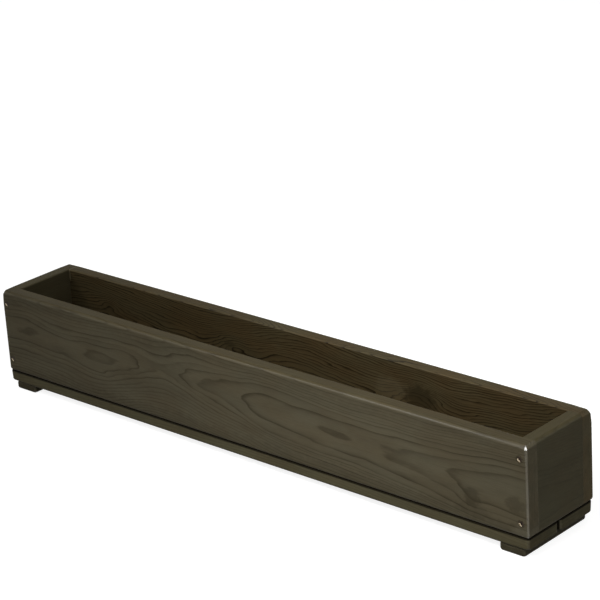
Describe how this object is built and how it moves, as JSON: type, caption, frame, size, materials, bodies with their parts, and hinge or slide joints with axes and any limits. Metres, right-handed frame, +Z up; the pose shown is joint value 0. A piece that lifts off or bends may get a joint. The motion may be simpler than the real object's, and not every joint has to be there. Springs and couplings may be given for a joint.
{
  "type": "window box planter",
  "caption": "Long narrow wooden window box for plants: rounded plank walls, a slotted plank bottom for drainage and cross battens as feet.",
  "frame": {"origin": "on the ground under the middle of the box", "axes": "+X along the box, towards the end seen nearer in the picture; the front faces -Y; +Z up"},
  "size_m": [0.9, 0.13, 0.146],
  "materials": {
    "wall_boards": "satin olive-brown wood stain on planed softwood",
    "end_boards": "satin olive-brown wood stain on planed softwood",
    "base_boards": "satin olive-brown wood stain on planed softwood",
    "foot_battens": "satin olive-brown wood stain on planed softwood",
    "screw_metal": "yellow-passivated steel, dulled by wood stain"
  },
  "bodies": {
    "root": {"front_wall": "wall_boards", "back_wall": "wall_boards", "left_end": "end_boards", "right_end": "end_boards", "base_board_front": "base_boards", "base_board_rear": "base_boards", "foot_left": "foot_battens", "foot_right": "foot_battens", "wall_screw_front_left_lower": "screw_metal", "wall_screw_front_left_upper": "screw_metal", "wall_screw_front_right_lower": "screw_metal", "wall_screw_front_right_upper": "screw_metal", "wall_screw_back_left_lower": "screw_metal", "wall_screw_back_left_upper": "screw_metal", "wall_screw_back_right_lower": "screw_metal", "wall_screw_back_right_upper": "screw_metal", "base_screw_front_1": "screw_metal", "base_screw_front_2": "screw_metal", "base_screw_front_3": "screw_metal", "base_screw_front_4": "screw_metal", "base_screw_back_1": "screw_metal", "base_screw_back_2": "screw_metal", "base_screw_back_3": "screw_metal", "base_screw_back_4": "screw_metal", "foot_screw_left_front_long": "screw_metal", "foot_screw_left_front_short": "screw_metal", "foot_screw_left_back_short": "screw_metal", "foot_screw_left_back_long": "screw_metal", "foot_screw_right_front_long": "screw_metal", "foot_screw_right_front_short": "screw_metal", "foot_screw_right_back_short": "screw_metal", "foot_screw_right_back_long": "screw_metal"}
  },
  "joints": []
}
